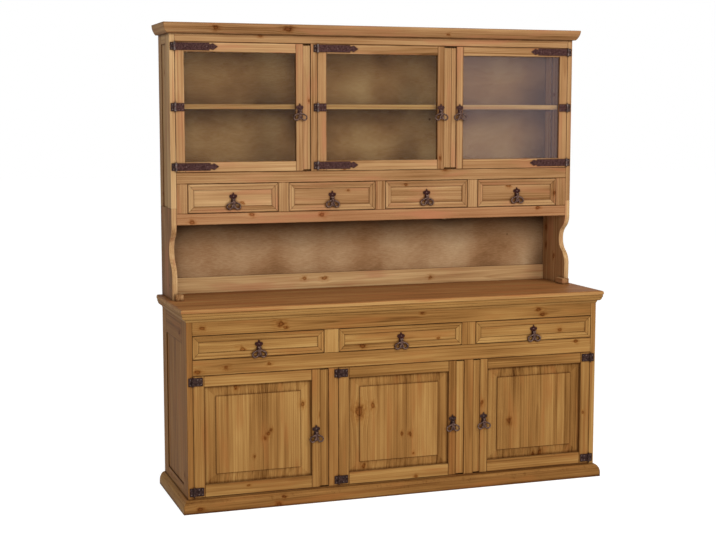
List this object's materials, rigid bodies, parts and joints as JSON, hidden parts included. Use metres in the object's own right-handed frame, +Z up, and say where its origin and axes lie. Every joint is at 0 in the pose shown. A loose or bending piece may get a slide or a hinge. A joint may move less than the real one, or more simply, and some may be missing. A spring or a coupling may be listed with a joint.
{
  "type": "trastero cabinet",
  "caption": "Rustic pine cabinet: a sideboard base with drawers and raised-panel doors, and a hutch with glazed doors, small drawers and an open niche.",
  "frame": {"origin": "on the floor, in the middle of the overall width and depth", "axes": "+X to the right seen from the front, -Y out of the front, +Z up"},
  "size_m": [1.912, 0.521, 2],
  "materials": {
    "pine": "waxed honey pine with knots",
    "dark_pine": "waxed pine, stained reddish brown",
    "plywood": "matt stained plywood",
    "iron": "dark forged iron, slightly worn",
    "glass": "clear float glass"
  },
  "bodies": {
    "cabinet": {"plinth": "pine", "base_side_left": "pine", "base_side_right": "pine", "base_front_frame": "pine", "base_back": "plywood", "base_interior": "pine", "tabletop": "dark_pine", "hutch_side_left": "pine", "hutch_side_right": "pine", "hutch_front_frame": "pine", "hutch_back": "plywood", "hutch_shelves": "pine", "cornice": "pine", "frame_hinge_leaves": "iron"},
    "base_drawer_left": {"base_drawer_left": "pine", "base_drawer_left_pull": "iron"},
    "base_drawer_left_drop": {"base_drawer_left_drop": "iron"},
    "base_drawer_middle": {"base_drawer_middle": "pine", "base_drawer_middle_pull": "iron"},
    "base_drawer_middle_drop": {"base_drawer_middle_drop": "iron"},
    "base_drawer_right": {"base_drawer_right": "pine", "base_drawer_right_pull": "iron"},
    "base_drawer_right_drop": {"base_drawer_right_drop": "iron"},
    "hutch_drawer_1": {"hutch_drawer_1": "pine", "hutch_drawer_1_pull": "iron"},
    "hutch_drawer_1_drop": {"hutch_drawer_1_drop": "iron"},
    "hutch_drawer_2": {"hutch_drawer_2": "pine", "hutch_drawer_2_pull": "iron"},
    "hutch_drawer_2_drop": {"hutch_drawer_2_drop": "iron"},
    "hutch_drawer_3": {"hutch_drawer_3": "pine", "hutch_drawer_3_pull": "iron"},
    "hutch_drawer_3_drop": {"hutch_drawer_3_drop": "iron"},
    "hutch_drawer_4": {"hutch_drawer_4": "pine", "hutch_drawer_4_pull": "iron"},
    "hutch_drawer_4_drop": {"hutch_drawer_4_drop": "iron"},
    "base_door_left": {"base_door_left": "pine", "base_door_left_panel": "pine", "base_door_left_iron": "iron"},
    "base_door_left_drop": {"base_door_left_drop": "iron"},
    "base_door_middle": {"base_door_middle": "pine", "base_door_middle_panel": "pine", "base_door_middle_iron": "iron"},
    "base_door_middle_drop": {"base_door_middle_drop": "iron"},
    "base_door_right": {"base_door_right": "pine", "base_door_right_panel": "pine", "base_door_right_iron": "iron"},
    "base_door_right_drop": {"base_door_right_drop": "iron"},
    "glass_door_left": {"glass_door_left": "pine", "glass_door_left_pane": "glass", "glass_door_left_iron": "iron"},
    "glass_door_left_drop": {"glass_door_left_drop": "iron"},
    "glass_door_middle": {"glass_door_middle": "pine", "glass_door_middle_pane": "glass", "glass_door_middle_iron": "iron"},
    "glass_door_middle_drop": {"glass_door_middle_drop": "iron"},
    "glass_door_right": {"glass_door_right": "pine", "glass_door_right_pane": "glass", "glass_door_right_iron": "iron"},
    "glass_door_right_drop": {"glass_door_right_drop": "iron"}
  },
  "joints": [
    {"name": "base_drawer_left_slide", "type": "slide", "parent": "cabinet", "child": "base_drawer_left", "axis": [0, -1, 0], "range_m": [0, 0.32]},
    {"name": "base_drawer_left_drop_swing", "type": "hinge", "parent": "base_drawer_left", "child": "base_drawer_left_drop", "pos_m": [-0.624, -0.2391, 0.6725], "axis": [-1, 0, 0], "range_deg": [0, 120]},
    {"name": "base_drawer_middle_slide", "type": "slide", "parent": "cabinet", "child": "base_drawer_middle", "axis": [0, -1, 0], "range_m": [0, 0.32]},
    {"name": "base_drawer_middle_drop_swing", "type": "hinge", "parent": "base_drawer_middle", "child": "base_drawer_middle_drop", "pos_m": [0, -0.2391, 0.6725], "axis": [-1, 0, 0], "range_deg": [0, 120]},
    {"name": "base_drawer_right_slide", "type": "slide", "parent": "cabinet", "child": "base_drawer_right", "axis": [0, -1, 0], "range_m": [0, 0.32]},
    {"name": "base_drawer_right_drop_swing", "type": "hinge", "parent": "base_drawer_right", "child": "base_drawer_right_drop", "pos_m": [0.624, -0.2391, 0.6725], "axis": [-1, 0, 0], "range_deg": [0, 120]},
    {"name": "hutch_drawer_1_slide", "type": "slide", "parent": "cabinet", "child": "hutch_drawer_1", "axis": [0, -1, 0], "range_m": [0, 0.14]},
    {"name": "hutch_drawer_1_drop_swing", "type": "hinge", "parent": "hutch_drawer_1", "child": "hutch_drawer_1_drop", "pos_m": [-0.66075, 0.0269, 1.265], "axis": [-1, 0, 0], "range_deg": [0, 120]},
    {"name": "hutch_drawer_2_slide", "type": "slide", "parent": "cabinet", "child": "hutch_drawer_2", "axis": [0, -1, 0], "range_m": [0, 0.14]},
    {"name": "hutch_drawer_2_drop_swing", "type": "hinge", "parent": "hutch_drawer_2", "child": "hutch_drawer_2_drop", "pos_m": [-0.22025, 0.0269, 1.265], "axis": [-1, 0, 0], "range_deg": [0, 120]},
    {"name": "hutch_drawer_3_slide", "type": "slide", "parent": "cabinet", "child": "hutch_drawer_3", "axis": [0, -1, 0], "range_m": [0, 0.14]},
    {"name": "hutch_drawer_3_drop_swing", "type": "hinge", "parent": "hutch_drawer_3", "child": "hutch_drawer_3_drop", "pos_m": [0.22025, 0.0269, 1.265], "axis": [-1, 0, 0], "range_deg": [0, 120]},
    {"name": "hutch_drawer_4_slide", "type": "slide", "parent": "cabinet", "child": "hutch_drawer_4", "axis": [0, -1, 0], "range_m": [0, 0.14]},
    {"name": "hutch_drawer_4_drop_swing", "type": "hinge", "parent": "hutch_drawer_4", "child": "hutch_drawer_4_drop", "pos_m": [0.66075, 0.0269, 1.265], "axis": [-1, 0, 0], "range_deg": [0, 120]},
    {"name": "base_door_left_hinge", "type": "hinge", "parent": "cabinet", "child": "base_door_left", "pos_m": [-0.9034, -0.2401, 0.2992], "axis": [0, 0, -1], "range_deg": [0, 165]},
    {"name": "base_door_left_drop_swing", "type": "hinge", "parent": "base_door_left", "child": "base_door_left_drop", "pos_m": [-0.381, -0.2451, 0.2992], "axis": [-1, 0, 0], "range_deg": [-5, 120]},
    {"name": "base_door_middle_hinge", "type": "hinge", "parent": "cabinet", "child": "base_door_middle", "pos_m": [-0.2814, -0.2401, 0.2992], "axis": [0, 0, -1], "range_deg": [0, 120]},
    {"name": "base_door_middle_drop_swing", "type": "hinge", "parent": "base_door_middle", "child": "base_door_middle_drop", "pos_m": [0.238, -0.2451, 0.2992], "axis": [-1, 0, 0], "range_deg": [-5, 120]},
    {"name": "base_door_right_hinge", "type": "hinge", "parent": "cabinet", "child": "base_door_right", "pos_m": [0.9034, -0.2401, 0.2992], "axis": [0, 0, 1], "range_deg": [0, 165]},
    {"name": "base_door_right_drop_swing", "type": "hinge", "parent": "base_door_right", "child": "base_door_right_drop", "pos_m": [0.385, -0.2451, 0.2992], "axis": [-1, 0, 0], "range_deg": [-5, 120]},
    {"name": "glass_door_left_hinge", "type": "hinge", "parent": "cabinet", "child": "glass_door_left", "pos_m": [-0.9054, 0.0259, 1.6392], "axis": [0, 0, -1], "range_deg": [0, 165]},
    {"name": "glass_door_left_drop_swing", "type": "hinge", "parent": "glass_door_left", "child": "glass_door_left_drop", "pos_m": [-0.367, 0.0209, 1.6392], "axis": [-1, 0, 0], "range_deg": [-5, 120]},
    {"name": "glass_door_middle_hinge", "type": "hinge", "parent": "cabinet", "child": "glass_door_middle", "pos_m": [-0.2864, 0.0259, 1.6392], "axis": [0, 0, -1], "range_deg": [0, 120]},
    {"name": "glass_door_middle_drop_swing", "type": "hinge", "parent": "glass_door_middle", "child": "glass_door_middle_drop", "pos_m": [0.2844, 0.0209, 1.6392], "axis": [-1, 0, 0], "range_deg": [-5, 120]},
    {"name": "glass_door_right_hinge", "type": "hinge", "parent": "cabinet", "child": "glass_door_right", "pos_m": [0.9054, 0.0259, 1.6392], "axis": [0, 0, 1], "range_deg": [0, 165]},
    {"name": "glass_door_right_drop_swing", "type": "hinge", "parent": "glass_door_right", "child": "glass_door_right_drop", "pos_m": [0.3746, 0.0209, 1.6392], "axis": [-1, 0, 0], "range_deg": [-5, 120]}
  ]
}
